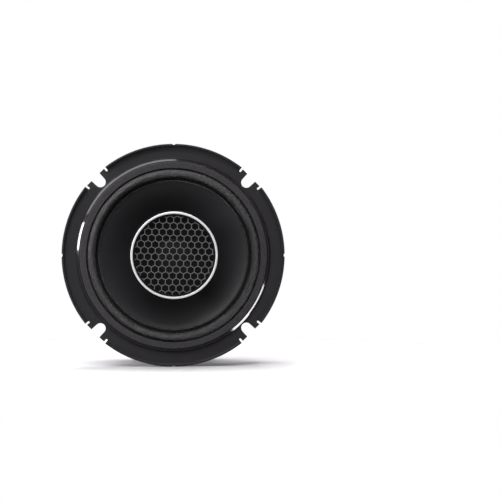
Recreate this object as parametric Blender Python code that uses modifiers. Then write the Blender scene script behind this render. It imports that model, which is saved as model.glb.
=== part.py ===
"""Coaxial car speaker, 6.5-inch class.

Every piece is drawn around a local Z axis that runs out of the front of the speaker, with height 0 on the
flange's rear face, and in millimetres. One empty turns that axis to face -Y, as the speaker stands in a door.
"""

import math

import bmesh
import bpy
from mathutils import Matrix, Vector

MM = 0.001

# Flange and basket
FLANGE_R = 82.5
FLANGE_T = 2.0
LIP_TOP = 5.3
LIP_T = 1.6
SHEET_T = 1.2
STEP_R = 71.6
SEAT_R = 70.0
SEAT_H = 3.2
WALL_TOP_R = 62.8
WALL_BEND_H, WALL_FOOT_H = -6.2, -23.8
WINDOW_TOP = -7.0
WINDOW_FLOOR = -23.0
WINDOW_TOP_HALF = 30.5
WINDOW_FLOOR_HALF = 25.5
LEDGE_H = -25.6
LEDGE_R = 56.0
CAN_R = 50.3
BASKET_FLOOR = -37.0
BASKET_HOLE_R = 22.5
BOLT_R = 76.3
SLOT_HALF = 3.7
SLOT_MOUTH_HALF = 4.3
SLIT_ANGLE = math.radians(6.7)
SLIT_WIDTH = 1.45
SLIT_START_R = 78.2
TAB_HALF_ANGLE = math.radians(7.3)
PAD_RECESS = 0.15
NICK_HALF = 1.5
NICK_DEPTH = 1.8
CORNER_ANGLES = [math.radians(45 + 90 * k) for k in range(4)]
SIDE_ANGLES = [math.radians(90 * k) for k in range(4)]

# Cone, surround and spider
GASKET_IN, GASKET_OUT = 64.3, 69.3
GASKET_FLOOR, GASKET_TOP = 4.5, 6.4
ROLL_R = 60.5
ROLL_HALF = 3.4
ROLL_RISE = 3.9
ROLL_T = 0.6
CONE_EDGE_R = 55.6
CONE_RIM_R = 57.0
CONE_EDGE_H = 3.0
CONE_NECK_R = 19.5
CONE_NECK_H = -21.5
CONE_BEND = 1.25
CONE_T = 0.6
FORMER_IN, FORMER_OUT = 18.8, 19.1
FORMER_TOP, FORMER_FLOOR = -21.2, -46.6
WINDING_OUT = 19.95
WINDING_TOP, WINDING_FLOOR = -34.4, -46.0
SPIDER_H = -24.6
SPIDER_WAVE = 1.1
SPIDER_T = 0.6
SPIDER_IN, SPIDER_OUT = 19.45, 54.3

# Motor
TOP_PLATE_R = 49.0
TOP_PLATE_HOLE = 20.4
TOP_PLATE_TOP, TOP_PLATE_FLOOR = -37.3, -43.0
MAGNET_R = 51.0
MAGNET_HOLE = 27.0
MAGNET_TOP, MAGNET_FLOOR = -43.3, -64.0
BACK_R = 48.5
BACK_TOP, BACK_FLOOR = -64.3, -71.0
POLE_R = 18.5
POLE_TOP = -36.8
BORE_R = 2.5
LEAD_HOLE_R = 1.2
LEAD_HOLE_AT = 12.0
RIVET_AT = 42.0
RIVET_R = 1.9
RIVET_HOLE_R = 2.3

# Tweeter
HOUSING_R = 33.0
HOUSING_TOP = 21.0
HOUSING_FLOOR = -8.6
BEZEL_IN, BEZEL_OUT = 29.9, 32.2
BEZEL_FLOOR, BEZEL_TOP = 20.3, 22.2
GRILLE_R = 30.8
GRILLE_FLOOR, GRILLE_TOP = 19.2, 20.0
GRILLE_PITCH = 5.23
GRILLE_WALL = 0.9
GRILLE_SHIFT = (-1.6, 3.4)
GRILLE_TURN = math.radians(-1.1)
GRILLE_FIELD_R = 26.2
POST_R = 14.6
POST_FOOT_R = 9.0
POST_FLOOR = -36.5
DOME_R = 12.4
DOME_RISE = 3.4
DOME_H = 13.9
DOME_T = 0.4
SCREW_R = 2.1

# Terminals and capacitor, placed around the lower right spoke
BOARD_ANGLE = math.radians(-45)
BOARD_R = 63.9
BOARD_SIZE = (2.0, 26.0, 14.0)
BOARD_H = -15.2
BOARD_RIVET_H = -11.5
TAB_T = 0.8
TAB_R = 65.6
CAP_X = 64.5
CAP_H = -32.0
CAP_SLEEVE_R = 10.0
CAP_CAN_R = 9.3
CAP_WINDOW_R = 8.2
CAP_LOW, CAP_HIGH = -33.0, -3.0

GAP = 0.3
STEPS = 40
MID_STEPS = 32
FINE_STEPS = 24

parts = bpy.data.collections.new("coaxial_car_speaker")
cutters = bpy.data.collections.new("cutters")


def clear_scene():
    for obj in list(bpy.data.objects):
        bpy.data.objects.remove(obj, do_unlink=True)
    bpy.context.scene.collection.children.link(parts)
    bpy.context.scene.collection.children.link(cutters)


def empty(name, parent=None):
    obj = bpy.data.objects.new(name, None)
    parts.objects.link(obj)
    obj.parent = parent
    return obj


def material(name, colour, roughness, metallic=0.0):
    made = bpy.data.materials.get(name) or bpy.data.materials.new(name)
    made.use_nodes = True
    shader = made.node_tree.nodes["Principled BSDF"]
    shader.inputs["Base Color"].default_value = (*colour, 1.0)
    shader.inputs["Roughness"].default_value = roughness
    shader.inputs["Metallic"].default_value = metallic
    return made


def finishes():
    """The materials, by the name of the finish."""
    return {
        "black_coat": material("black_coat", (0.030, 0.028, 0.030), 0.45),
        "black_rubber": material("black_rubber", (0.022, 0.021, 0.022), 0.75),
        "black_cone": material("black_cone", (0.018, 0.017, 0.018), 0.55),
        "black_plastic": material("black_plastic", (0.020, 0.019, 0.020), 0.4),
        "charcoal_ferrite": material("charcoal_ferrite", (0.055, 0.053, 0.055), 0.6),
        "zinc": material("zinc", (0.62, 0.66, 0.65), 0.25, 1.0),
        "silver": material("silver", (0.86, 0.86, 0.88), 0.2, 1.0),
        "grey_mesh": material("grey_mesh", (0.16, 0.16, 0.165), 0.4, 1.0),
        "red_brown_cloth": material("red_brown_cloth", (0.075, 0.018, 0.013), 0.9),
        "brown_paper": material("brown_paper", (0.30, 0.17, 0.09), 0.6),
        "copper": material("copper", (0.72, 0.33, 0.18), 0.3, 1.0),
        "tinned_wire": material("tinned_wire", (0.62, 0.62, 0.62), 0.35, 1.0),
        "fibre_board": material("fibre_board", (0.045, 0.040, 0.036), 0.7),
        "silk": material("silk", (0.030, 0.030, 0.034), 0.6),
    }


def finish(obj, look, parent, collection=parts):
    """Puts an object in its collection, under its parent and in its material."""
    collection.objects.link(obj)
    obj.parent = parent
    if look:
        obj.data.materials.append(look)
    return obj


def turned(name, profile, look, parent, steps=STEPS, closed=True):
    """A profile of (radius, height) points, down the outer side, turned about the local Z axis."""
    mesh = bpy.data.meshes.new(name)
    points = [(r * MM, 0.0, h * MM) for r, h in profile]
    edges = [(i, i + 1) for i in range(len(points) - 1)]
    if closed:
        edges.append((len(points) - 1, 0))
    mesh.from_pydata(points, edges, [])
    obj = finish(bpy.data.objects.new(name, mesh), look, parent)
    screw = obj.modifiers.new("turn", "SCREW")
    screw.steps = steps
    screw.render_steps = steps
    screw.use_merge_vertices = True
    screw.merge_threshold = 1e-6
    screw.use_smooth_shade = True
    return obj


def ring(name, inner, outer, floor, top, look, parent, steps=STEPS, chamfer=0.0):
    """A plain turned ring with its outer corners chamfered."""
    profile = [(outer - chamfer, top), (outer, top - chamfer), (outer, floor + chamfer)]
    profile += [(outer - chamfer, floor), (inner, floor), (inner, top)]
    if not chamfer:
        profile = [(outer, top), (outer, floor), (inner, floor), (inner, top)]
    return turned(name, profile, look, parent, steps)


def smooth_route(points, per_span=2):
    """Points on one smooth curve through the given points."""
    route = [Vector(p) for p in points]
    ends = [2 * route[0] - route[1]] + route + [2 * route[-1] - route[-2]]
    curve = []
    for i in range(1, len(ends) - 2):
        a, b, c, d = ends[i - 1 : i + 3]
        for k in range(per_span):
            t = k / per_span
            curve.append(
                0.5 * (2 * b + (c - a) * t + (2 * a - 5 * b + 4 * c - d) * t**2
                       + (3 * b - a - 3 * c + d) * t**3)
            )
    return curve + [route[-1]]


def wire(name, points, radius, look, parent):
    """A round wire along a smooth route through the points."""
    route = smooth_route(points)
    data = bpy.data.curves.new(name, "CURVE")
    data.dimensions = "3D"
    data.bevel_depth = radius * MM
    data.bevel_resolution = 1
    data.use_fill_caps = True
    spline = data.splines.new("POLY")
    spline.points.add(len(route) - 1)
    for point, place in zip(spline.points, route):
        point.co = (*(place * MM), 1.0)
    return finish(bpy.data.objects.new(name, data), look, parent)


def flat_plate(name, outline, thickness, place, look, parent, collection=parts):
    """A flat outline given half its thickness each way, as a mesh, with its place in the mesh."""
    data = bpy.data.curves.new(name, "CURVE")
    data.dimensions = "2D"
    data.fill_mode = "BOTH"
    data.extrude = thickness * MM / 2
    spline = data.splines.new("POLY")
    spline.points.add(len(outline) - 1)
    for point, (x, y) in zip(spline.points, outline):
        point.co = (x * MM, y * MM, 0.0, 1.0)
    spline.use_cyclic_u = True
    drawn = bpy.data.objects.new(name + "_outline", data)
    bpy.context.scene.collection.objects.link(drawn)
    bpy.context.view_layer.update()
    graph = bpy.context.evaluated_depsgraph_get()
    mesh = bpy.data.meshes.new_from_object(drawn.evaluated_get(graph))
    bpy.data.objects.remove(drawn, do_unlink=True)
    mesh.name = name
    shape = bmesh.new()
    shape.from_mesh(mesh)
    bmesh.ops.remove_doubles(shape, verts=shape.verts, dist=1e-6)
    bmesh.ops.recalc_face_normals(shape, faces=shape.faces)
    bmesh.ops.transform(shape, matrix=place, verts=shape.verts)
    shape.to_mesh(mesh)
    shape.free()
    return finish(bpy.data.objects.new(name, mesh), look, parent, collection)


def placed(x, y, height):
    return Matrix.Translation(Vector((x, y, height)) * MM)


def about_axis(angle):
    return Matrix.Rotation(angle, 4, "Z")


def cutter(name, parent, build):
    """A helper solid: build adds closed shapes to an empty bmesh."""
    shape = bmesh.new()
    build(shape)
    mesh = bpy.data.meshes.new(name)
    bmesh.ops.recalc_face_normals(shape, faces=shape.faces)
    shape.to_mesh(mesh)
    shape.free()
    obj = finish(bpy.data.objects.new(name, mesh), None, parent, cutters)
    obj.hide_render = True
    obj.display_type = "WIRE"
    return obj


def add_block(shape, low, high, turn=None):
    """A box between two corners, then turned about the axis."""
    size = Vector(high) - Vector(low)
    middle = (Vector(high) + Vector(low)) / 2
    place = (turn or Matrix()) @ placed(*middle) @ Matrix.Diagonal((*(size * MM), 1.0))
    return bmesh.ops.create_cube(shape, size=1.0, matrix=place)["verts"]


def add_rod(shape, radius, length, place, segments=16):
    """A cylinder centred on place, along its local Z."""
    bmesh.ops.create_cone(
        shape, cap_ends=True, segments=segments, radius1=radius * MM, radius2=radius * MM,
        depth=length * MM, matrix=place,
    )


def cut(obj, tool, name):
    modifier = obj.modifiers.new(name, "BOOLEAN")
    modifier.operation = "DIFFERENCE"
    modifier.object = tool
    modifier.solver = "EXACT"


def arc(centre, radius, start, end, count):
    """Points of an arc, from start to end in degrees; radius is one number or two half axes."""
    across, up = radius if isinstance(radius, tuple) else (radius, radius)
    angles = [math.radians(start + (end - start) * k / count) for k in range(count + 1)]
    return [(centre[0] + across * math.cos(a), centre[1] + up * math.sin(a)) for a in angles]


# ---------------------------------------------------------------- basket


def slot_outline():
    """An open slot along +X: round inside, widening to its mouth."""
    inside = arc((BOLT_R, 0), SLOT_HALF, 90, 270, 8)
    mouth_r = FLANGE_R + 2
    return [(mouth_r, SLOT_MOUTH_HALF), *inside, (mouth_r, -SLOT_MOUTH_HALF)]


def add_slits(shape):
    for corner in CORNER_ANGLES:
        for side in (-1, 1):
            turn = about_axis(corner + side * SLIT_ANGLE)
            low = (SLIT_START_R, -SLIT_WIDTH / 2, -1)
            add_block(shape, low, (FLANGE_R + 2, SLIT_WIDTH / 2, LIP_TOP + 1), turn)


def add_lip_gaps(shape):
    """The lip is missing between the two slits of each corner, where the flange is a little thinner."""
    half = FLANGE_R * math.sin(TAB_HALF_ANGLE)
    for corner in CORNER_ANGLES:
        low = (FLANGE_R - 5, -half, FLANGE_T - PAD_RECESS)
        add_block(shape, low, (FLANGE_R + 2, half, LIP_TOP + 1), about_axis(corner))


def add_nicks(shape):
    for side in SIDE_ANGLES:
        place = about_axis(side) @ placed(FLANGE_R - NICK_DEPTH, 0, LIP_TOP / 2)
        slope = math.atan2(NICK_HALF, NICK_DEPTH)
        reach = 3 * NICK_DEPTH
        size = Matrix.Diagonal((reach * MM, reach * MM, 4 * LIP_TOP * MM, 1.0))
        shear = Matrix.Diagonal((1.0, math.tan(slope), 1.0, 1.0))
        corner = Matrix.Rotation(math.radians(45), 4, "Z")
        offset = Matrix.Translation((reach / math.sqrt(2) * MM, 0, 0))
        bmesh.ops.create_cube(shape, size=1.0, matrix=place @ shear @ offset @ corner @ size)


def add_windows(shape):
    for side in SIDE_ANGLES:
        verts = add_block(
            shape,
            (LEDGE_R - 14, -WINDOW_TOP_HALF, WINDOW_FLOOR),
            (FLANGE_R, WINDOW_TOP_HALF, WINDOW_TOP),
        )
        for vert in verts:
            if vert.co.z < (WINDOW_TOP + WINDOW_FLOOR) / 2 * MM:
                vert.co.y *= WINDOW_FLOOR_HALF / WINDOW_TOP_HALF
        bmesh.ops.transform(shape, matrix=about_axis(side), verts=verts)


def add_rivet_holes(shape):
    for side in SIDE_ANGLES:
        place = about_axis(side) @ placed(RIVET_AT, 0, BASKET_FLOOR)
        add_rod(shape, RIVET_HOLE_R, 9.0, place)


def add_board_rivet_hole(shape):
    place = about_axis(BOARD_ANGLE) @ placed(BOARD_R - 2, 0, BOARD_RIVET_H)
    add_rod(shape, RIVET_HOLE_R, 14.0, place @ Matrix.Rotation(math.pi / 2, 4, "Y"))


def basket(looks, axis):
    step_top = GASKET_FLOOR + 0.5
    outside = [
        (FLANGE_R, LIP_TOP), (FLANGE_R, 0), (69.6, 0), (68.4, 1.9), (66.0, 1.9),
        (64.4, 0.6), (63.6, -2.0), (62.2, WALL_BEND_H), (57.3, WALL_FOOT_H),
        (LEDGE_R, LEDGE_H - SHEET_T), (CAN_R, LEDGE_H - SHEET_T), (CAN_R, BASKET_FLOOR),
        (BASKET_HOLE_R, BASKET_FLOOR),
    ]
    inside = [
        (BASKET_HOLE_R, BASKET_FLOOR + SHEET_T), (CAN_R - SHEET_T, BASKET_FLOOR + SHEET_T),
        (CAN_R - SHEET_T, LEDGE_H), (LEDGE_R - SHEET_T, LEDGE_H), (56.0, WALL_FOOT_H),
        (61.0, WALL_BEND_H), (62.3, -2.0), (WALL_TOP_R, SEAT_H),
    ]
    face = [
        (SEAT_R, SEAT_H), (SEAT_R, step_top), (STEP_R - 0.7, step_top), (STEP_R, FLANGE_T),
        (FLANGE_R - LIP_T, FLANGE_T), (FLANGE_R - LIP_T, LIP_TOP),
    ]
    frame = turned("basket", outside + inside + face, looks["black_coat"], axis)
    for index, corner in enumerate(CORNER_ANGLES, 1):
        name = f"mounting_slot_cutter_{index}"
        place = about_axis(corner) @ placed(0, 0, 1)
        slot = flat_plate(name, slot_outline(), 8.0, place, None, axis, cutters)
        slot.hide_render = True
        slot.display_type = "WIRE"
        cut(frame, slot, f"mounting slot {index}")
    cut(frame, cutter("lip_gap_cutter", axis, add_lip_gaps), "lip gaps")
    cut(frame, cutter("slit_cutter", axis, add_slits), "slits")
    cut(frame, cutter("nick_cutter", axis, add_nicks), "nicks")
    cut(frame, cutter("window_cutter", axis, add_windows), "windows")
    return frame


def rivets(looks, axis):
    """Rivets from the basket's floor into the front plate."""
    head_floor = BASKET_FLOOR + SHEET_T + GAP
    profile = [
        (0, head_floor + 1.2), (2.6, head_floor + 0.9), (3.4, head_floor), (RIVET_R, head_floor),
        (RIVET_R, BASKET_FLOOR - 3.5), (0, BASKET_FLOOR - 3.5),
    ]
    for index, side in enumerate(SIDE_ANGLES, 1):
        name = f"basket_rivet_{index}"
        rivet = turned(name, profile, looks["zinc"], axis, 12, closed=False)
        rivet.location = about_axis(side) @ Vector((RIVET_AT * MM, 0, 0))


# ---------------------------------------------------------------- moving parts and their supports


def cone_height(radius):
    """The cone's middle surface, steeper towards the neck."""
    share = (CONE_EDGE_R - radius) / (CONE_EDGE_R - CONE_NECK_R)
    return CONE_EDGE_H + (CONE_NECK_H - CONE_EDGE_H) * share**CONE_BEND


def cone(looks, moving):
    count = 6
    span = CONE_EDGE_R - CONE_NECK_R
    radii = [CONE_EDGE_R - span * k / count for k in range(count + 1)]
    half = CONE_T / 2
    under = [(CONE_RIM_R, CONE_EDGE_H - half)] + [(r, cone_height(r) - half) for r in radii]
    over = [(r, cone_height(r) + half) for r in reversed(radii)]
    over.append((CONE_RIM_R, CONE_EDGE_H + half))
    return turned("cone", under + over, looks["black_cone"], moving, MID_STEPS)


def surround(looks, axis):
    foot = CONE_EDGE_H + CONE_T / 2 + GAP
    top = GASKET_FLOOR - GAP
    under = arc((ROLL_R, top - 0.3), (ROLL_HALF - ROLL_T, ROLL_RISE - ROLL_T), 0, 180, 5)
    over = arc((ROLL_R, top), (ROLL_HALF, ROLL_RISE - 0.3), 180, 0, 5)
    outer = [(GASKET_OUT - 0.1, top), (GASKET_OUT - 0.1, SEAT_H + GAP), (ROLL_R + ROLL_HALF, SEAT_H + GAP)]
    inner = [(CONE_EDGE_R + 1.6, foot), (CONE_EDGE_R - 0.4, foot), (CONE_EDGE_R - 0.4, foot + ROLL_T)]
    return turned("surround", outer + under + inner + over, looks["black_rubber"], axis, MID_STEPS)


def gasket_ring(looks, axis):
    name = "gasket_ring"
    look = looks["black_rubber"]
    profile = [
        (GASKET_OUT - 0.4, GASKET_TOP), (GASKET_OUT, GASKET_TOP - 0.4), (GASKET_OUT, GASKET_FLOOR),
        (GASKET_IN, GASKET_FLOOR), (GASKET_IN, GASKET_TOP - 0.4), (GASKET_IN + 0.4, GASKET_TOP),
    ]
    return turned(name, profile, look, axis)


def spider(looks, axis):
    """Flat at both edges and folded in waves between them."""
    waves = 3
    wave_out, wave_in = 49.5, 22.0
    flange_h = LEDGE_H + GAP + SPIDER_T / 2
    middle = [(SPIDER_OUT, flange_h)]
    for k in range(2 * waves + 1):
        height = SPIDER_H + SPIDER_WAVE * (1 if k % 2 else -0.2)
        middle.append((wave_out + (wave_in - wave_out) * k / (2 * waves), height))
    middle.append((SPIDER_IN, SPIDER_H - 0.4))
    half = SPIDER_T / 2
    under = [(r, h - half) for r, h in middle]
    over = [(r, h + half) for r, h in reversed(middle)]
    return turned("spider", under + over, looks["red_brown_cloth"], axis, MID_STEPS)


def voice_coil(looks, moving):
    former = ("voice_coil_former", FORMER_IN, FORMER_OUT, FORMER_FLOOR, FORMER_TOP)
    ring(*former, looks["brown_paper"], moving, FINE_STEPS)
    winding = ("voice_coil_winding", FORMER_OUT + 0.25, WINDING_OUT, WINDING_FLOOR, WINDING_TOP)
    ring(*winding, looks["copper"], moving, FINE_STEPS)


# ---------------------------------------------------------------- motor


def add_lead_holes(shape):
    for side in (-1, 1):
        add_rod(shape, LEAD_HOLE_R, 12.0, placed(side * LEAD_HOLE_AT, 0, POLE_TOP), 12)


def motor(looks, axis, rivet_tool):
    zinc = looks["zinc"]
    plate = ("top_plate", TOP_PLATE_HOLE, TOP_PLATE_R, TOP_PLATE_FLOOR, TOP_PLATE_TOP)
    cut(ring(*plate, zinc, axis, MID_STEPS, 0.6), rivet_tool, "rivet holes")
    stone = ("magnet", MAGNET_HOLE, MAGNET_R, MAGNET_FLOOR, MAGNET_TOP)
    ring(*stone, looks["charcoal_ferrite"], axis, MID_STEPS, 1.3)
    profile = [
        (POLE_R, POLE_TOP), (POLE_R, BACK_TOP), (BACK_R - 0.8, BACK_TOP), (BACK_R, BACK_TOP - 0.8),
        (BACK_R, BACK_FLOOR + 0.8), (BACK_R - 0.8, BACK_FLOOR), (6.0, BACK_FLOOR),
        (6.0, BACK_FLOOR + 5), (BORE_R, BACK_FLOOR + 5), (BORE_R, POLE_TOP),
    ]
    yoke = turned("t_yoke", profile, zinc, axis, MID_STEPS)
    cut(yoke, cutter("lead_hole_cutter", axis, add_lead_holes), "lead holes")


# ---------------------------------------------------------------- tweeter


def tweeter_housing(looks, axis):
    profile = [
        (HOUSING_R, HOUSING_TOP), (HOUSING_R, 10.8), (31.8, 8.0), (24.6, -0.6), (19.8, -4.8),
        (17.0, -7.2), (15.0, HOUSING_FLOOR), (BORE_R, HOUSING_FLOOR), (BORE_R, -5.8), (14.5, -5.8),
        (22.6, 1.6), (28.2, 9.4), (28.2, 14.7), (29.8, 14.7), (29.8, GRILLE_FLOOR - GAP),
        (GRILLE_R + 0.4, GRILLE_FLOOR - GAP), (GRILLE_R + 0.4, BEZEL_FLOOR - GAP),
        (BEZEL_OUT + GAP, BEZEL_FLOOR - GAP), (BEZEL_OUT + GAP, HOUSING_TOP),
    ]
    return turned("tweeter_housing", profile, looks["black_plastic"], axis, MID_STEPS)


def tweeter_bezel(looks, axis):
    profile = [
        (BEZEL_OUT - 0.5, BEZEL_TOP), (BEZEL_OUT, BEZEL_TOP - 0.6), (BEZEL_OUT, BEZEL_FLOOR),
        (BEZEL_IN, BEZEL_FLOOR), (BEZEL_IN, BEZEL_TOP - 0.4), (BEZEL_IN + 0.5, BEZEL_TOP),
    ]
    return turned("tweeter_bezel", profile, looks["silver"], axis)


def grille_cells():
    """Centres of the whole cells of the mesh, in rows."""
    reach = int(GRILLE_FIELD_R / GRILLE_PITCH) + 2
    turn = Matrix.Rotation(GRILLE_TURN, 2)
    for row in range(-reach - 1, reach + 2):
        for column in range(-reach, reach + 1):
            x = GRILLE_SHIFT[0] + (column + 0.5 * (row % 2)) * GRILLE_PITCH
            y = GRILLE_SHIFT[1] + row * GRILLE_PITCH * math.sqrt(3) / 2
            centre = turn @ Vector((x, y))
            if centre.length < GRILLE_FIELD_R:
                yield centre


def add_cells(shape):
    radius = (GRILLE_PITCH - GRILLE_WALL) / math.sqrt(3)
    point_up = Matrix.Rotation(GRILLE_TURN, 4, "Z")
    for centre in grille_cells():
        place = placed(*centre, (GRILLE_FLOOR + GRILLE_TOP) / 2) @ point_up
        add_rod(shape, radius, 4.0, place, 6)


def tweeter_grille(looks, axis):
    disc = [(0, GRILLE_TOP), (GRILLE_R, GRILLE_TOP), (GRILLE_R, GRILLE_FLOOR), (0, GRILLE_FLOOR)]
    mesh = turned("tweeter_grille", disc, looks["grey_mesh"], axis, closed=False)
    cut(mesh, cutter("grille_cell_cutter", axis, add_cells), "cells")


def dome_profile():
    """A shallow dome with a flat rim."""
    sphere = (DOME_R**2 + DOME_RISE**2) / (2 * DOME_RISE)
    count = 4
    radii = [DOME_R * k / count for k in range(count + 1)]
    rise = [math.sqrt(sphere**2 - r**2) - (sphere - DOME_RISE) for r in radii]
    over = [(r, DOME_H + DOME_T + h) for r, h in zip(radii, rise)]
    rim = [(DOME_R + 1.9, DOME_H + DOME_T), (DOME_R + 1.9, DOME_H)]
    under = [(r, DOME_H + h) for r, h in zip(radii, rise)]
    return over + rim + under[::-1]


def tweeter_driver(looks, axis, dome_travel):
    plate = [(29.4, 17.2), (29.4, 15.0), (14.8, 15.0), (14.8, 15.6), (21.0, 17.2)]
    turned("tweeter_faceplate", plate, looks["black_plastic"], axis, FINE_STEPS)
    diaphragm = dome_profile()
    turned("tweeter_diaphragm", diaphragm, looks["silk"], dome_travel, FINE_STEPS, closed=False)
    coil = ("tweeter_voice_coil", 12.4, 12.8, 9.4, DOME_H - GAP)
    ring(*coil, looks["copper"], dome_travel, FINE_STEPS)
    cup = [(0, 5.6), (13.3, 5.6), (13.3, 13.0), (17.0, 13.0), (17.0, 2.6), (0, 2.6)]
    turned("tweeter_back_cup", cup, looks["zinc"], axis, FINE_STEPS, closed=False)
    stone = [(0, 9.9), (10.8, 9.9), (10.8, 5.9), (0, 5.9)]
    turned("tweeter_magnet", stone, looks["charcoal_ferrite"], axis, FINE_STEPS, closed=False)
    pole = [(0, 13.0), (12.0, 13.0), (12.0, 10.2), (0, 10.2)]
    turned("tweeter_pole_piece", pole, looks["zinc"], axis, FINE_STEPS, closed=False)


def add_nut_bore(shape):
    add_rod(shape, SCREW_R + GAP, 8.0, placed(0, 0, -3.9))


def tweeter_post(looks, axis):
    """The post on the pole, with the long screw and nut that hold the housing on it."""
    profile = [
        (POST_R, HOUSING_FLOOR - GAP), (POST_R, -22.0), (POST_FOOT_R, -27.0), (POST_FOOT_R, POST_FLOOR),
        (BORE_R, POST_FLOOR), (BORE_R, HOUSING_FLOOR - GAP),
    ]
    turned("tweeter_post", profile, looks["black_plastic"], axis, FINE_STEPS)
    head = BACK_FLOOR + 5 - GAP
    screw = [
        (0, -1.6), (SCREW_R, -1.6), (SCREW_R, head), (4.2, head), (4.2, BACK_FLOOR + 0.6),
        (0, BACK_FLOOR + 0.6),
    ]
    turned("tweeter_post_screw", screw, looks["zinc"], axis, 16, closed=False)
    hexagon = arc((0, 0), 4.0, 0, 300, 5)
    place = placed(0, 0, -3.9)
    nut = flat_plate("tweeter_post_nut", hexagon, 3.2, place, looks["zinc"], axis)
    cut(nut, cutter("nut_bore_cutter", axis, add_nut_bore), "bore")


def tweeter_leads(looks, axis):
    """Slack wires from under the housing, bowed out beside the post, into the holes of the pole."""
    for side, name in ((-1, "tweeter_lead_left"), (1, "tweeter_lead_right")):
        route = [
            (side * 16.6, 0, -8.4), (side * 18.6, 0, -10.6), (side * 19.7, 0, -14.0),
            (side * 18.2, 0, -17.4), (side * 16.2, 0, -20.2), (side * 15.6, 0, -24.0),
            (side * 13.6, 0, -28.6), (side * LEAD_HOLE_AT, 0, -33.0), (side * LEAD_HOLE_AT, 0, -41.0),
        ]
        wire(name, route, 0.55, looks["tinned_wire"], axis)


# ---------------------------------------------------------------- terminals and capacitor


def beside_spoke(radius, across, height):
    """A point given by its distance from the axis and across the lower right spoke."""
    return about_axis(BOARD_ANGLE) @ Vector((radius, across, height))


def terminal_board(looks, axis, frame, rivet_tool):
    turn = about_axis(BOARD_ANGLE)
    size = Vector(BOARD_SIZE) / 2
    middle = Vector((BOARD_R, 0, BOARD_H))
    shape = bmesh.new()
    add_block(shape, middle - size, middle + size, turn)
    mesh = bpy.data.meshes.new("terminal_board")
    shape.to_mesh(mesh)
    shape.free()
    board = finish(bpy.data.objects.new("terminal_board", mesh), looks["fibre_board"], axis)
    cut(board, rivet_tool, "rivet hole")
    cut(frame, rivet_tool, "rivet hole")
    profile = [
        (0, 2.6), (1.6, 2.3), (2.8, 1.4), (2.8, 0.3), (RIVET_R - 0.2, 0.3), (RIVET_R - 0.2, -6.2), (0, -6.2),
    ]
    rivet = turned("terminal_board_rivet", profile, looks["zinc"], axis, 12, closed=False)
    rivet.location = beside_spoke(BOARD_R + BOARD_SIZE[0] / 2, 0, BOARD_RIVET_H) * MM
    rivet.rotation_euler = (0, math.pi / 2, BOARD_ANGLE)


def tab_outline(width, length):
    """A push-on tab: square at the board, chamfered at its tip."""
    half = width / 2
    corner = min(1.2, half / 2)
    return [
        (-half, 0), (half, 0), (half, -length + corner), (half - corner, -length),
        (corner - half, -length), (-half, -length + corner),
    ]


def terminals(looks, axis):
    stand = Matrix.Rotation(math.pi / 2, 4, "Z") @ Matrix.Rotation(math.pi / 2, 4, "X")
    tabs = (
        ("terminal_positive", 6.3, 20.0, 7.6, -10.0),
        ("terminal_negative", 4.8, 20.0, -7.6, -10.0),
        ("terminal_tweeter", 3.2, 6.0, 0.0, -15.4),
    )
    for name, width, length, across, top in tabs:
        place = about_axis(BOARD_ANGLE) @ placed(TAB_R, across, top) @ stand
        flat_plate(name, tab_outline(width, length), TAB_T, place, looks["tinned_wire"], axis)


def tinsel_leads(looks, axis):
    """Flexible leads from the board, in at the edges of two windows, to the voice coil former."""
    for side, name in ((1, "tinsel_lead_positive"), (-1, "tinsel_lead_negative")):
        route = [
            (63.9, 13.9, -14.0), (63.5, 18.5, -14.0), (60.0, 21.3, -14.3), (54.0, 21.0, -15.0),
            (44.0, 16.0, -17.5), (33.0, 9.5, -20.0), (25.0, 5.0, -21.8), (19.9, 2.4, -23.0),
        ]
        points = [beside_spoke(r, side * across, h) for r, across, h in route]
        wire(name, points, 0.5, looks["copper"], axis)


def capacitor(looks, axis):
    """An electrolytic capacitor lying across the lower right of the basket, vented end down."""
    lying = placed(CAP_X, 0, CAP_H) @ Matrix.Rotation(-math.pi / 2, 4, "X")
    can = [(0, CAP_HIGH - 1.2), (CAP_CAN_R, CAP_HIGH - 1.2), (CAP_CAN_R, CAP_LOW + 0.8), (0, CAP_LOW + 0.8)]
    sleeve = [
        (CAP_SLEEVE_R, CAP_HIGH - 0.6), (CAP_SLEEVE_R, CAP_LOW + 0.6), (CAP_SLEEVE_R - 0.6, CAP_LOW),
        (CAP_WINDOW_R, CAP_LOW), (CAP_WINDOW_R, CAP_LOW + 0.5), (CAP_CAN_R + 0.25, CAP_LOW + 0.5),
        (CAP_CAN_R + 0.25, CAP_HIGH - 0.5), (CAP_WINDOW_R, CAP_HIGH - 0.5), (CAP_WINDOW_R, CAP_HIGH),
        (CAP_SLEEVE_R - 0.6, CAP_HIGH),
    ]
    seal_top, seal_floor = CAP_HIGH + 0.4, CAP_HIGH - 0.9
    seal = [(0, seal_top), (7.8, seal_top), (7.8, seal_floor), (0, seal_floor)]
    shapes = (
        ("capacitor_can", can, "silver", False),
        ("capacitor_sleeve", sleeve, "black_plastic", True),
        ("capacitor_seal", seal, "black_rubber", False),
    )
    for name, profile, look, closed in shapes:
        piece = turned(name, profile, looks[look], axis, FINE_STEPS, closed)
        piece.matrix_basis = lying


def capacitor_bracket(looks, axis):
    """A saddle over the capacitor with a foot under the flange."""
    hold_in, hold_out = CAP_SLEEVE_R + GAP, CAP_SLEEVE_R + 1.7
    centre = (CAP_X, CAP_H)
    outline = [
        (65.4, -GAP), (65.4, -2.3), (67.2, -2.3), (67.2, -19.6),
        *arc(centre, hold_out, 80, 120, 2),
        *arc(centre, hold_in, 120, -80, 12),
        *arc(centre, hold_out, -80, 60, 8),
        (70.4, -2.3), (76.4, -2.3), (76.4, -GAP),
    ]
    across = Matrix.Rotation(math.pi / 2, 4, "X")
    flat_plate("capacitor_bracket", outline, 12.0, placed(0, -18, 0) @ across, looks["black_plastic"], axis)


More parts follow.
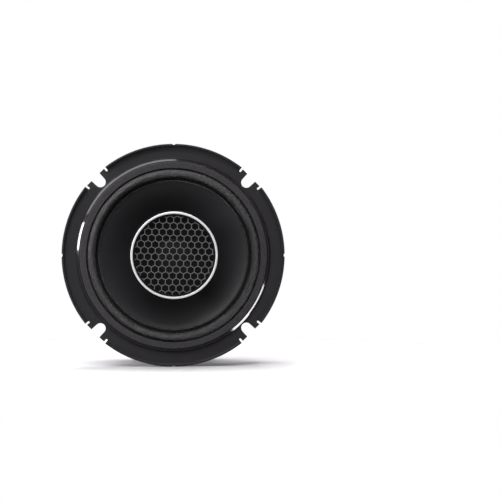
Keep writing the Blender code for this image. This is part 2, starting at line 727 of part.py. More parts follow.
def capacitor_leads(looks, axis):
    end = CAP_HIGH + 0.8
    to_positive = [
        (62.6, end, CAP_H), (62.8, 3.0, -31.5), (64.0, 5.5, -27.0), (65.4, 3.0, -21.5),
        (65.2, -8.0, -17.0), (63.6, -18.0, -14.5), (60.5, -29.0, -13.0), (56.0, -38.0, -12.3),
        (52.9, -42.2, -12.0),
    ]
    to_tweeter = [
        (66.4, end, CAP_H), (66.0, 3.0, -33.5), (62.6, 7.5, -30.0), (61.8, 3.0, -22.0),
        (61.8, -8.0, -18.0), (61.6, -18.0, -17.0), (60.5, -29.0, -17.0), (56.4, -37.5, -17.5),
        (53.8, -41.8, -17.5), (50.6, -45.4, -17.5), (47.3, -47.3, -17.5),
    ]
    wire("capacitor_lead_input", to_positive, 0.45, looks["tinned_wire"], axis)
    wire("capacitor_lead_output", to_tweeter, 0.45, looks["tinned_wire"], axis)


def main():
    clear_scene()
    looks = finishes()
    axis = empty("speaker_axis")
    axis.rotation_euler = (math.pi / 2, 0, 0)
    cone_travel = empty("cone_travel", axis)
    dome_travel = empty("dome_travel", axis)
    rivet_tool = cutter("rivet_hole_cutter", axis, add_rivet_holes)
    board_rivet_tool = cutter("board_rivet_hole_cutter", axis, add_board_rivet_hole)

    frame = basket(looks, axis)
    cut(frame, rivet_tool, "rivet holes")
    gasket_ring(looks, axis)
    surround(looks, axis)
    cone(looks, cone_travel)
    voice_coil(looks, cone_travel)
    spider(looks, axis)
    motor(looks, axis, rivet_tool)
    rivets(looks, axis)
    tweeter_housing(looks, axis)
    tweeter_bezel(looks, axis)
    tweeter_grille(looks, axis)
    tweeter_driver(looks, axis, dome_travel)
    tweeter_post(looks, axis)
    tweeter_leads(looks, axis)
    terminal_board(looks, axis, frame, board_rivet_tool)
    terminals(looks, axis)
    tinsel_leads(looks, axis)
    capacitor(looks, axis)
    capacitor_bracket(looks, axis)
    capacitor_leads(looks, axis)


main()
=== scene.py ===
"""A coaxial car speaker: a cone in a stamped basket, a tweeter on a post in front of its motor, and
the crossover's capacitor clipped beside the basket.

Shapes are in the speaker's own millimetres: x and y across the axis, or a radius about it, and a
height forward of the flange's rear face. FACING turns them to the frame, with the cone facing -Y.
"""

import math

import bmesh
import bpy
from mathutils import Matrix, Vector
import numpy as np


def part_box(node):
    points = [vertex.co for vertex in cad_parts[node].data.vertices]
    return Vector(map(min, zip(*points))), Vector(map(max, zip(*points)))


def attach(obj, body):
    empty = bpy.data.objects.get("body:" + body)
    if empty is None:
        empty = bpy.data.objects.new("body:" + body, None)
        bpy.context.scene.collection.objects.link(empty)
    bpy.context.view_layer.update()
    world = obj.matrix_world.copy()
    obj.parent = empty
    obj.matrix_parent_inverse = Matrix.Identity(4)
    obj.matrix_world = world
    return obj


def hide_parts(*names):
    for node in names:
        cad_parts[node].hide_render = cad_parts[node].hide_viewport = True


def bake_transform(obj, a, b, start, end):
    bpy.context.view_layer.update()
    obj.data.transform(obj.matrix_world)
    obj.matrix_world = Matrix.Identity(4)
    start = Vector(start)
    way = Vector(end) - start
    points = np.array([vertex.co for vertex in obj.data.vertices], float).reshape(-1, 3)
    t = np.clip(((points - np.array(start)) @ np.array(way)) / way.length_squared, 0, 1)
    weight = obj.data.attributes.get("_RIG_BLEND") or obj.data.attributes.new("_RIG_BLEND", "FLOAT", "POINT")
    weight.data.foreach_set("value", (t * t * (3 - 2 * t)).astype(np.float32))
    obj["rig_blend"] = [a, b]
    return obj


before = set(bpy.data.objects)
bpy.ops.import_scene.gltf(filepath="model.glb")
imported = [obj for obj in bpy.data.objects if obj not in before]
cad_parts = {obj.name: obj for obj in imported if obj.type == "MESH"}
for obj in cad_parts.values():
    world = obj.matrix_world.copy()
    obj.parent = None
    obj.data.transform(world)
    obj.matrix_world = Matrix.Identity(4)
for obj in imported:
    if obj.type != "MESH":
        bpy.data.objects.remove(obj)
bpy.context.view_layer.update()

MM = 0.001
FORWARD = Matrix.Rotation(math.radians(90), 4, "X")
FACING = FORWARD @ Matrix.Scale(MM, 4)

FLANGE_R, FLANGE_T, LIP_TOP = 82.5, 2.0, 5.3
CORNERS = (45, 135, 225, 315)
SIDES = (0, 90, 180, 270)
CONE_NECK, CONE_EDGE = 19.5, 55.6
CORRUGATIONS = 7
GRILLE_PITCH, GRILLE_WALL = 5.23, 0.56
GRILLE_SHIFT = Vector((-0.85, 3.1))
GRILLE_TURN = math.radians(-1.1)
SPOKE = -45
CAP_X, CAP_H = 64.5, -32.0
FLOOR_Z, FLOOR_RADIUS = -FLANGE_R * MM, 0.32
SHARP_EDGE = math.radians(32)


# ---------------------------------------------------------------- shaping


def about_axis(degrees):
    return Matrix.Rotation(math.radians(degrees), 4, "Z")


def outward(degrees):
    """Stands a flat outline of (across, height) up to face outward at that angle about the axis."""
    return about_axis(degrees) @ Matrix(((0, 0, 1, 0), (1, 0, 0, 0), (0, 1, 0, 0), (0, 0, 0, 1)))


def at_spoke(radius, across, height):
    """A point by its distance out and across the lower right spoke of the basket."""
    return about_axis(SPOKE) @ Vector((radius, across, height))


def round_off(form, points, corners, segments=5):
    """Rounds each point whose corner has a third number, which is its rounding."""
    for point, corner in zip(points, corners):
        if len(corner) > 2:
            bmesh.ops.bevel(
                form, geom=[point], offset=corner[2], offset_type="OFFSET",
                segments=segments, profile=0.5, affect="VERTICES", material=-1,
            )


def turned(corners, steps=160):
    """A body turned about the axis from an outline of (radius, height, rounding) corners."""
    form = bmesh.new()
    points = [form.verts.new((corner[0], 0, corner[1])) for corner in corners]
    on_axis = corners[0][0] == 0 and corners[-1][0] == 0
    for start, end in zip(points, points[1:] if on_axis else points[1:] + points[:1]):
        form.edges.new((start, end))
    round_off(form, points, corners)
    bmesh.ops.spin(
        form, geom=form.verts[:] + form.edges[:], axis=(0, 0, 1), cent=(0, 0, 0),
        angle=math.tau, steps=steps, use_merge=True,
    )
    bmesh.ops.remove_doubles(form, verts=form.verts, dist=1e-4)
    bmesh.ops.recalc_face_normals(form, faces=form.faces)
    return form


def pressed(corners, floor, top, place=Matrix()):
    """A block pushed up from a flat outline of (x, y, rounding) corners, then put in its place."""
    form = bmesh.new()
    points = [form.verts.new((corner[0], corner[1], floor)) for corner in corners]
    form.faces.new(points)
    round_off(form, points, corners)
    raised = bmesh.ops.extrude_face_region(form, geom=form.faces[:], use_keep_orig=True)["geom"]
    points = [part for part in raised if isinstance(part, bmesh.types.BMVert)]
    bmesh.ops.translate(form, vec=(0, 0, top - floor), verts=points)
    bmesh.ops.recalc_face_normals(form, faces=form.faces)
    form.transform(place)
    return form


def rod(radius, floor, top, place=Matrix(), sides=48):
    form = bmesh.new()
    middle = Matrix.Translation((0, 0, (floor + top) / 2))
    bmesh.ops.create_cone(
        form, cap_ends=True, segments=sides, radius1=radius, radius2=radius,
        depth=top - floor, matrix=place @ middle,
    )
    return form


def gathered(forms):
    """One form that holds several."""
    whole = bmesh.new()
    for form in forms:
        mesh = bpy.data.meshes.new("gathered")
        form.to_mesh(mesh)
        form.free()
        whole.from_mesh(mesh)
        bpy.data.meshes.remove(mesh)
    return whole


def carved(form, cutter, operation="DIFFERENCE"):
    """The form with the cutter's space taken out of it."""
    blanks = []
    for shape in (form, cutter):
        mesh = bpy.data.meshes.new("blank")
        shape.to_mesh(mesh)
        shape.free()
        blanks.append(bpy.data.objects.new("blank", mesh))
        bpy.context.scene.collection.objects.link(blanks[-1])
    cut = blanks[0].modifiers.new("cut", "BOOLEAN")
    cut.object, cut.operation, cut.solver = blanks[1], operation, "EXACT"
    result = bmesh.new()
    result.from_object(blanks[0], bpy.context.evaluated_depsgraph_get())
    for blank in blanks:
        bpy.data.meshes.remove(blank.data)
    return result


def wire(route, radius):
    """A round wire along a smooth route through the points."""
    curve = bpy.data.curves.new("route", "CURVE")
    curve.dimensions = "3D"
    curve.bevel_depth, curve.bevel_resolution = radius, 3
    curve.resolution_u, curve.use_fill_caps = 8, True
    spline = curve.splines.new("BEZIER")
    spline.bezier_points.add(len(route) - 1)
    for knot, point in zip(spline.bezier_points, route):
        knot.co = point
        knot.handle_left_type = knot.handle_right_type = "AUTO"
    holder = bpy.data.objects.new("route", curve)
    bpy.context.scene.collection.objects.link(holder)
    form = bmesh.new()
    form.from_mesh(holder.evaluated_get(bpy.context.evaluated_depsgraph_get()).to_mesh())
    bpy.data.curves.remove(curve)
    bmesh.ops.remove_doubles(form, verts=form.verts, dist=1e-4)
    bmesh.ops.recalc_face_normals(form, faces=form.faces)
    return form


def place_piece(name, form, slot, stands_for, *finishes, body="basket", edge=0.0):
    """Turns a form into a finished piece, in its place, on its body."""
    form.transform(FACING)
    for face in form.faces:
        face.smooth = True
    for rim in form.edges:
        rim.smooth = rim.calc_face_angle(0) < SHARP_EDGE
    mesh = bpy.data.meshes.new(name)
    form.to_mesh(mesh)
    form.free()
    for finish in finishes:
        mesh.materials.append(finish)
    piece = bpy.data.objects.new(name, mesh)
    bpy.context.scene.collection.objects.link(piece)
    if edge:
        softened = piece.modifiers.new("softened edges", "BEVEL")
        softened.width, softened.segments = edge * MM, 2
        softened.limit_method, softened.angle_limit = "ANGLE", SHARP_EDGE
    evened = piece.modifiers.new("even shading", "WEIGHTED_NORMAL")
    evened.keep_sharp = True
    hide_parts(stands_for)
    if body:
        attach(piece, body)
    return piece


def follow_cone(piece, share):
    """The piece bends with the cone: share says how much of the slide each point takes."""
    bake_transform(piece, "basket", "cone", start=(0, 0, 0), end=(FLANGE_R * MM, 0, 0))
    shares = piece.data.attributes["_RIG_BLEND"].data
    for point, value in zip(piece.data.vertices, shares):
        value.value = share(math.hypot(point.co.x, point.co.z) / MM)


def eased(start, end):
    """A share that goes smoothly from 0 at the start radius to 1 at the end radius."""
    def share(radius):
        t = min(max((radius - start) / (end - start), 0), 1)
        return t * t * (3 - 2 * t)
    return share


# ---------------------------------------------------------------- finishes


def new_finish(name, roughness, metallic=0.0, specular=0.5, **steady):
    """A material's node tree and its shader, with the values that are the same all over."""
    finish = bpy.data.materials.new(name)
    finish.use_nodes = True
    shader = finish.node_tree.nodes["Principled BSDF"]
    steady.update({"Roughness": roughness, "Metallic": metallic, "Specular IOR Level": specular})
    for socket, value in steady.items():
        shader.inputs[socket.replace("_", " ")].default_value = value
    return finish, finish.node_tree, shader


def node(tree, kind, inputs, **settings):
    made = tree.nodes.new("ShaderNode" + kind)
    for name, value in settings.items():
        setattr(made, name, value)
    for name, value in inputs.items():
        if isinstance(value, bpy.types.NodeSocket):
            tree.links.new(value, made.inputs[name])
        else:
            made.inputs[name].default_value = value
    return made


def here(tree):
    return node(tree, "TexCoord", {}).outputs["Object"]


def across_and_along(tree):
    """The distance from the axis and the height along it, as a vector for turned marks."""
    parts = node(tree, "SeparateXYZ", {0: here(tree)})
    flat = node(tree, "CombineXYZ", {"X": parts.outputs["X"], "Y": parts.outputs["Z"]})
    radius = node(tree, "VectorMath", {0: flat.outputs[0]}, operation="LENGTH").outputs["Value"]
    return node(tree, "CombineXYZ", {"X": radius, "Y": parts.outputs["Y"]}).outputs[0]


def noise(tree, place, scale, detail=2.0, roughness=0.5):
    values = {"Vector": place, "Scale": scale, "Detail": detail, "Roughness": roughness}
    return node(tree, "TexNoise", values).outputs[0]


def spread(tree, value, low, high, start=0.3, end=0.7):
    """Maps a noise to the range that a shader's number takes."""
    values = {"Value": value, "From Min": start, "From Max": end, "To Min": low, "To Max": high}
    return node(tree, "MapRange", values).outputs[0]


def shades(tree, value, *stops):
    """A ramp between colours at places along a value."""
    ramp = node(tree, "ValToRGB", {"Fac": value})
    while len(ramp.color_ramp.elements) < len(stops):
        ramp.color_ramp.elements.new(0.5)
    for stop, (position, colour) in zip(ramp.color_ramp.elements, stops):
        stop.position, stop.color = position, (*colour, 1)
    return ramp.outputs["Color"]


def relief(tree, shader, *layers):
    """Bumps on the surface from (height, strength, depth in mm) layers."""
    normal = None
    for height, strength, depth in layers:
        values = {"Height": height, "Strength": strength, "Distance": depth * MM}
        if normal:
            values["Normal"] = normal
        normal = node(tree, "Bump", values).outputs[0]
    tree.links.new(normal, shader.inputs["Normal"])


def grey(value):
    """Pale finishes are neutral, and dark ones lean a little towards plum."""
    lean = 0.06 if value < 0.08 else 0.015
    return (value * (1 + lean / 2), value * (1 - lean), value * (1 + lean))


def powder_coat():
    """Satin black coat: orange peel, fine dust and cloudy gloss."""
    finish, tree, shader = new_finish("powder_coat", 0.5, specular=0.22)
    place = here(tree)
    dust = noise(tree, place, 2600, 3)
    tree.links.new(
        shades(tree, dust, (0.3, grey(0.012)), (0.7, grey(0.021))), shader.inputs["Base Color"])
    tree.links.new(
        spread(tree, noise(tree, place, 60, 3), 0.46, 0.58), shader.inputs["Roughness"])
    relief(tree, shader, (noise(tree, place, 850, 2), 0.25, 0.12), (dust, 0.2, 0.05))
    return finish


def gloss_enamel():
    """The polished shoulder of the flange, a little wavy."""
    finish, tree, shader = new_finish("gloss_enamel", 0.1, specular=0.7)
    place = here(tree)
    tree.links.new(
        shades(tree, noise(tree, place, 400), (0.3, grey(0.008)), (0.7, grey(0.012))),
        shader.inputs["Base Color"])
    tree.links.new(
        spread(tree, noise(tree, place, 900), 0.07, 0.13), shader.inputs["Roughness"])
    relief(tree, shader, (noise(tree, place, 300), 0.1, 0.05))
    return finish


def gasket_rubber():
    """Grained grey-black rubber, duller in its pores."""
    finish, tree, shader = new_finish("gasket_rubber", 0.6, specular=0.25)
    place = here(tree)
    grain = noise(tree, place, 800, 6, 0.8)
    tree.links.new(
        shades(tree, grain, (0.4, grey(0.013)), (0.6, grey(0.038))), shader.inputs["Base Color"])
    tree.links.new(spread(tree, grain, 0.75, 0.5), shader.inputs["Roughness"])
    relief(tree, shader, (grain, 0.7, 0.4), (noise(tree, place, 5200), 0.3, 0.05))
    return finish


def surround_rubber():
    """Butyl rubber with a leathery grain that breaks up its highlight."""
    finish, tree, shader = new_finish("surround_rubber", 0.36, specular=0.5)
    place = here(tree)
    grain = noise(tree, place, 520, 6, 0.8)
    tree.links.new(
        shades(tree, grain, (0.42, grey(0.002)), (0.6, grey(0.019))), shader.inputs["Base Color"])
    tree.links.new(spread(tree, grain, 0.42, 0.18), shader.inputs["Roughness"])
    relief(tree, shader, (grain, 1.0, 1.0), (noise(tree, place, 2400, 3), 0.3, 0.08))
    return finish


def cone_pulp():
    """Coated black pulp: pressed fibres lying every way, with faint rings."""
    finish, tree, shader = new_finish("cone_pulp", 0.46, specular=0.35)
    place = here(tree)
    fibres = noise(tree, place, 1700, 6, 0.65)
    rings = noise(tree, across_and_along(tree), 700, 2)
    tree.links.new(
        shades(tree, fibres, (0.3, grey(0.011)), (0.7, grey(0.018))), shader.inputs["Base Color"])
    tree.links.new(spread(tree, fibres, 0.52, 0.42), shader.inputs["Roughness"])
    relief(tree, shader, (fibres, 0.25, 0.08), (rings, 0.12, 0.04))
    return finish


def moulded_black():
    """Black plastic with the fine spark texture of its mould."""
    finish, tree, shader = new_finish("moulded_black", 0.42, specular=0.4)
    place = here(tree)
    spark = noise(tree, place, 3200, 3, 0.6)
    tree.links.new(
        shades(tree, noise(tree, place, 120, 3), (0.3, grey(0.010)), (0.7, grey(0.015))),
        shader.inputs["Base Color"])
    tree.links.new(spread(tree, spark, 0.36, 0.5), shader.inputs["Roughness"])
    relief(tree, shader, (spark, 0.35, 0.06))
    return finish


def matt_black_shade():
    """Dull black, darkened as painted shade: glue in the surround's groove, the felted face behind the
    grille, the bezel's lips.
    """
    finish, tree, shader = new_finish("matt_black_shade", 0.85, specular=0.15)
    felt = noise(tree, here(tree), 2200, 5, 0.7)
    # The near-black colour is painted shade in the groove, behind the mesh and round the bezel.
    tree.links.new(
        shades(tree, felt, (0.3, grey(0.003)), (0.7, grey(0.008))), shader.inputs["Base Color"])
    tree.links.new(spread(tree, felt, 0.8, 0.95), shader.inputs["Roughness"])
    relief(tree, shader, (felt, 0.4, 0.1))
    return finish


def mesh_paint():
    """Grey baked paint on the grille's steel, with a fine flake."""
    finish, tree, shader = new_finish("mesh_paint", 0.36, metallic=0.35, specular=0.5)
    place = here(tree)
    flake = noise(tree, place, 3000, 3, 0.6)
    tree.links.new(
        shades(tree, flake, (0.3, grey(0.105)), (0.7, grey(0.155))), shader.inputs["Base Color"])
    tree.links.new(
        spread(tree, noise(tree, place, 500), 0.3, 0.45), shader.inputs["Roughness"])
    relief(tree, shader, (flake, 0.2, 0.04))
    return finish


def silver_paint():
    """Bright satin silver paint with a fine flake."""
    finish, tree, shader = new_finish("silver_paint", 0.38, metallic=0.2, specular=0.5)
    place = here(tree)
    cells = node(tree, "TexVoronoi", {"Vector": place, "Scale": 4200}).outputs["Distance"]
    tree.links.new(
        shades(tree, cells, (0.1, grey(0.62)), (0.8, grey(0.54))), shader.inputs["Base Color"])
    tree.links.new(spread(tree, cells, 0.34, 0.46, 0.1, 0.8), shader.inputs["Roughness"])
    relief(tree, shader, (cells, 0.08, 0.03))
    return finish


def zinc_plate():
    """Clear zinc on turned steel: fine rings on the faces and lines round the edges."""
    finish, tree, shader = new_finish("zinc_plate", 0.34, metallic=1.0)
    marks = noise(tree, across_and_along(tree), 5200, 4, 0.7)
    bands = noise(tree, across_and_along(tree), 420, 2)
    clouds = noise(tree, here(tree), 45, 4, 0.6)
    tree.links.new(
        shades(tree, clouds, (0.3, (0.50, 0.56, 0.56)), (0.7, (0.63, 0.68, 0.67))),
        shader.inputs["Base Color"])
    tree.links.new(spread(tree, bands, 0.26, 0.46), shader.inputs["Roughness"])
    relief(tree, shader, (marks, 0.35, 0.05), (bands, 0.1, 0.05))
    return finish


def sintered_ferrite():
    """Charcoal ferrite: ground, chalky, with small pits and pale grains."""
    finish, tree, shader = new_finish("sintered_ferrite", 0.72, specular=0.35)
    place = here(tree)
    grains = noise(tree, place, 900, 6, 0.75)
    pits = node(tree, "TexVoronoi", {"Vector": place, "Scale": 260}).outputs["Distance"]
    pitted = spread(tree, pits, 0.0, 1.0, 0.04, 0.16)
    tree.links.new(
        shades(tree, grains, (0.3, grey(0.042)), (0.62, grey(0.062)), (0.72, grey(0.10))),
        shader.inputs["Base Color"])
    tree.links.new(spread(tree, grains, 0.8, 0.6), shader.inputs["Roughness"])
    relief(tree, shader, (grains, 0.5, 0.15), (pitted, 0.4, 0.2))
    return finish


def woven_cloth(name, thread, gap_shade, pitch, depth):
    """Plain weave, its threads lying across and up, a pitch in mm apart, with painted shade in the gaps
    between them.
    """
    finish, tree, shader = new_finish(name, 0.8, specular=0.2, Sheen_Weight=0.15)
    place = here(tree)
    ways = [
        node(tree, "TexWave", {"Vector": place, "Scale": 0.314 / (pitch * MM), "Distortion": 0.6,
             "Detail": 1.0, "Detail Scale": 2.0}, bands_direction=way).outputs["Fac"]
        for way in ("X", "Z")
    ]
    weave = node(tree, "Math", {0: ways[0], 1: ways[1]}, operation="MULTIPLY").outputs[0]
    fuzz = noise(tree, place, 3500, 4, 0.7)
    height = node(tree, "Math", {0: weave, 1: 0.8, 2: fuzz}, operation="MULTIPLY_ADD").outputs[0]
    # The weave's low spots take the darker gap colour: painted shade between the threads.
    tree.links.new(
        shades(tree, height, (0.35, gap_shade), (1.0, thread)), shader.inputs["Base Color"])
    tree.links.new(spread(tree, fuzz, 0.7, 0.9), shader.inputs["Roughness"])
    relief(tree, shader, (height, 0.7, depth))
    return finish


def drawn_metal(name, dark, light, roughness, scale=1400):
    """Bare or tinned metal with faint draw marks and tarnish."""
    finish, tree, shader = new_finish(name, roughness, metallic=1.0)
    place = here(tree)
    tarnish = noise(tree, place, scale / 4, 4, 0.6)
    tree.links.new(
        shades(tree, tarnish, (0.3, dark), (0.7, light)), shader.inputs["Base Color"])
    tree.links.new(
        spread(tree, tarnish, roughness * 0.75, roughness * 1.3), shader.inputs["Roughness"])
    relief(tree, shader, (noise(tree, place, scale, 4, 0.7), 0.25, 0.05))
    return finish


def enamelled_copper():
    """Windings under enamel, turn beside turn, darker in the grooves between turns: painted shade."""
    finish, tree, shader = new_finish("enamelled_copper", 0.28, metallic=0.9, Coat_Weight=0.6)
    turns = node(tree, "TexWave", {"Vector": here(tree), "Scale": 1100.0}, bands_direction="Y")
    # The colour follows the bump's bands, darker in the grooves between the turns: painted shade.
    tree.links.new(
        shades(tree, turns.outputs["Fac"], (0.1, (0.20, 0.06, 0.02)), (0.8, (0.62, 0.25, 0.10))),
        shader.inputs["Base Color"])
    relief(tree, shader, (turns.outputs["Fac"], 0.6, 0.08))
    return finish


def kraft_paper():
    """Varnished brown paper, its fibres wound round."""
    finish, tree, shader = new_finish("kraft_paper", 0.55, specular=0.4)
    fibres = noise(tree, here(tree), 1800, 6, 0.7)
    tree.links.new(
        shades(tree, fibres, (0.3, (0.11, 0.055, 0.026)), (0.7, (0.20, 0.11, 0.055))),
        shader.inputs["Base Color"])
    relief(tree, shader, (fibres, 0.4, 0.06))
    return finish


def fibre_board():
    """Dark phenolic board with pressed flecks."""
    finish, tree, shader = new_finish("fibre_board", 0.5, specular=0.4)
    place = here(tree)
    flecks = noise(tree, place, 900, 5, 0.7)
    tree.links.new(
        shades(tree, flecks, (0.3, (0.030, 0.018, 0.012)), (0.7, (0.075, 0.042, 0.026))),
        shader.inputs["Base Color"])
    tree.links.new(spread(tree, flecks, 0.42, 0.62), shader.inputs["Roughness"])
    relief(tree, shader, (flecks, 0.3, 0.06))
    return finish


def shrink_film():
    """Glossy black film shrunk on the capacitor, slightly rippled."""
    finish, tree, shader = new_finish("shrink_film", 0.16, specular=0.5)
    place = here(tree)
    ripple = noise(tree, place, 140, 3)
    tree.links.new(
        shades(tree, ripple, (0.3, grey(0.008)), (0.7, grey(0.013))), shader.inputs["Base Color"])
    tree.links.new(
        spread(tree, noise(tree, place, 700, 3), 0.12, 0.24), shader.inputs["Roughness"])
    relief(tree, shader, (ripple, 0.25, 0.2))
    return finish


def clip_nylon():
    """Grey-black nylon with flow marks."""
    finish, tree, shader = new_finish("clip_nylon", 0.5, specular=0.4)
    place = here(tree)
    flow = noise(tree, place, 260, 5, 0.65)
    tree.links.new(
        shades(tree, flow, (0.3, grey(0.045)), (0.7, grey(0.075))), shader.inputs["Base Color"])
    tree.links.new(spread(tree, flow, 0.42, 0.58), shader.inputs["Roughness"])
    relief(tree, shader, (noise(tree, place, 2400, 3), 0.3, 0.06))
    return finish


def all_finishes():
    return {
        "coat": powder_coat(),
        "gloss": gloss_enamel(),
        "gasket": gasket_rubber(),
        "rubber": surround_rubber(),
        "cone": cone_pulp(),
        "plastic": moulded_black(),
        "matt": matt_black_shade(),
        "mesh": mesh_paint(),
        "silver": silver_paint(),
        "zinc": zinc_plate(),
        "ferrite": sintered_ferrite(),
        "spider": woven_cloth("spider_cloth", (0.33, 0.085, 0.065), (0.09, 0.022, 0.018), 0.75, 0.25),
        "silk": woven_cloth("dome_silk", (0.012, 0.010, 0.010), (0.005, 0.004, 0.005), 0.35, 0.08),
        "tinned": drawn_metal("tinned_metal", (0.62, 0.62, 0.60), (0.80, 0.80, 0.78), 0.28),
        "braid": drawn_metal("tinsel_braid", (0.42, 0.20, 0.11), (0.68, 0.38, 0.24), 0.38, 6000),
        "aluminium": drawn_metal("capacitor_aluminium", (0.60, 0.61, 0.62), (0.78, 0.78, 0.79), 0.32),
        "copper": enamelled_copper(),
        "paper": kraft_paper(),
        "board": fibre_board(),
        "film": shrink_film(),
        "nylon": clip_nylon(),
    }


# ---------------------------------------------------------------- basket and cone


def basket_blank():
    """The pressing before it is pierced: lip, flange, shoulder, seat, wall, ledge and can."""
    return turned([
        (82.5, LIP_TOP, 0.45), (82.5, 0, 0.5), (69.6, 0, 0.8), (68.4, 1.9, 0.5), (66, 1.9, 0.5),
        (64.4, 0.6, 0.6), (63.6, -2, 0.8), (62.2, -6.2, 1.5), (57.3, -23.8, 1.0), (56, -26.8, 1.0),
        (50.3, -26.8, 0.8), (50.3, -37, 1.6), (22.5, -37, 0.3), (22.5, -35.8, 0.3),
        (49.1, -35.8, 0.8), (49.1, -25.6, 0.4), (54.8, -25.6, 0.8), (56, -23.8, 0.6),
        (61, -6.2, 1.2), (62.3, -2, 0.6), (62.8, 3.2, 0.3), (69.75, 3.2, 0.15), (69.75, 5.15, 0.12),
        (71.7, 3.55, 0.35), (71.95, FLANGE_T, 0.5), (80.9, FLANGE_T, 0.6), (80.9, LIP_TOP, 0.45),
    ], 180)


def window(side):
    outline = [(-30.5, -7, 4), (30.5, -7, 4), (25.5, -23, 3), (-25.5, -23, 3)]
    return pressed(outline, 40, 75, outward(side))


def mounting_slot(corner):
    outline = [(72.6, -3.7, 3.68), (86, -4.35), (86, 4.35), (72.6, 3.7, 3.68)]
    return pressed(outline, -3, 9, about_axis(corner))


def slit(corner, side):
    outline = [(79.2, -0.72, 0.7), (86, -0.78), (86, 0.78), (79.2, 0.72, 0.7)]
    return pressed(outline, -3, 9, about_axis(corner + side * 6.7))


def tab_pad(corner):
    """The lip stops at the slits, and the tabs between them are pressed a little thinner."""
    outline = [(77.5, -10.3), (86, -10.3), (86, 10.3), (77.5, 10.3)]
    return pressed(outline, FLANGE_T - 0.1, 9, about_axis(corner))


def tab_trim(corner):
    """The tabs end in a straight edge, just inside the round of the flange."""
    outline = [(81.65, -9.3), (86, -9.3), (86, 9.3), (81.65, 9.3)]
    return pressed(outline, -3, 9, about_axis(corner))


def nick(side):
    outline = [(81.75, -0.7, 0.4), (86, -5.0), (86, 5.0), (81.75, 0.7, 0.4)]
    return pressed(outline, -3, 9, about_axis(side))


def basket(look):
    form = carved(basket_blank(), gathered([window(side) for side in SIDES]))
    slits = [slit(corner, side) for corner in CORNERS for side in (-1, 1)]
    form = carved(form, gathered([mounting_slot(corner) for corner in CORNERS] + slits))
    form = carved(form, gathered([tab_pad(corner) for corner in CORNERS]))
    form = carved(form, gathered([tab_trim(c) for c in CORNERS] + [nick(side) for side in SIDES]))
    for face in form.faces:
        middle = face.calc_center_median()
        if 69.7 < math.hypot(middle.x, middle.y) < 71.8 and middle.z > 3.3:
            face.material_index = 1
    place_piece("basket_pressing", form, "black_coat", "basket", look["coat"], look["gloss"])


def gasket(look):
    form = turned([(64.4, 4.3, 0.2), (69.35, 4.3, 0.2), (69.35, 6.4, 0.75), (64.4, 6.4, 0.35)], 192)
    place_piece("flange_gasket", form, "black_rubber", "gasket_ring", look["gasket"])


def surround(look):
    """A half roll between two flat flanges."""
    def roll(half_width, floor, rise, turn):
        return [
            (60.5 + half_width * math.cos(a), floor + rise * math.sin(a))
            for a in (math.pi * turn(k / 18) for k in range(19))
        ]
    outline = [
        (69.2, 3.5), (69.2, 4.2), (64.2, 4.2, 0.15), *roll(3.4, 4.1, 3.7, lambda t: t),
        (57.0, 3.42, 0.15), (55.9, 3.42, 0.15), (55.6, 4.0, 0.15), (54.8, 4.0, 0.25),
        (54.5, 3.35), (57.4, 3.35), *roll(2.8, 3.6, 3.6, lambda t: 1 - t), (63.6, 3.5),
    ]
    form = turned(outline, 240)
    # Faces in the groove between roll and cone take the dull black: glue, darkened further as painted shade.
    for face in form.faces:
        middle = face.calc_center_median()
        if 55.5 < math.hypot(middle.x, middle.y) < 57.15 and middle.z < 4.0:
            face.material_index = 1
    piece = place_piece(
        "surround_roll", form, "black_rubber", "surround", look["rubber"], look["matt"], body=None)
    follow_cone(piece, eased(63.6, 57.2))


def cone_height(radius):
    return 3 - 24.5 * (max(CONE_EDGE - radius, 0) / 36.1) ** 1.25


def cone(look):
    reach = [CONE_NECK + (CONE_EDGE - CONE_NECK) * k / 30 for k in range(31)]
    upper = [(radius, cone_height(radius) + 0.3) for radius in reach]
    lower = [(radius, cone_height(radius) - 0.3) for radius in reversed(reach)]
    form = turned([*upper, (57.0, 3.3, 0.2), (57.0, 2.7, 0.2), *lower], 192)
    place_piece("cone_body", form, "black_cone", "cone", look["cone"], body="cone")


def spider_height(radius):
    """Seven corrugations between a flat collar and a flat foot on the ledge."""
    foot = min(max((radius - 48.5) / 2.0, 0), 1)
    level = -24.6 - 0.55 * foot * foot * (3 - 2 * foot)
    if not 23.5 < radius < 49.5:
        return level
    return level + 1.1 * math.sin((radius - 23.5) / 26 * CORRUGATIONS * math.tau)


def spider(look):
    reach = [19.5 + 34.8 * k / 116 for k in range(117)]
    upper = [(radius, spider_height(radius) + 0.22) for radius in reach]
    lower = [(radius, spider_height(radius) - 0.22) for radius in reversed(reach)]
    piece = place_piece(
        "spider_cloth", turned(upper + lower, 160), "red_brown_cloth", "spider", look["spider"],
        body=None)
    follow_cone(piece, eased(49.5, 22))


def voice_coil(look):
    former = turned(
        [(18.8, -21.2, 0.1), (19.1, -21.2, 0.1), (19.1, -46.6, 0.1), (18.8, -46.6, 0.1)], 128)
    place_piece(
        "voice_coil_tube", former, "brown_paper", "voice_coil_former", look["paper"], body="cone")
    turns = [(19.95 if k % 2 else 19.8, -34.4 - 11.6 * k / 80) for k in range(81)]
    coil = turned([(19.35, -34.4), *turns, (19.35, -46.0)], 96)
    place_piece("voice_coil_turns", coil, "copper", "voice_coil_winding", look["copper"], body="cone")


# ---------------------------------------------------------------- motor


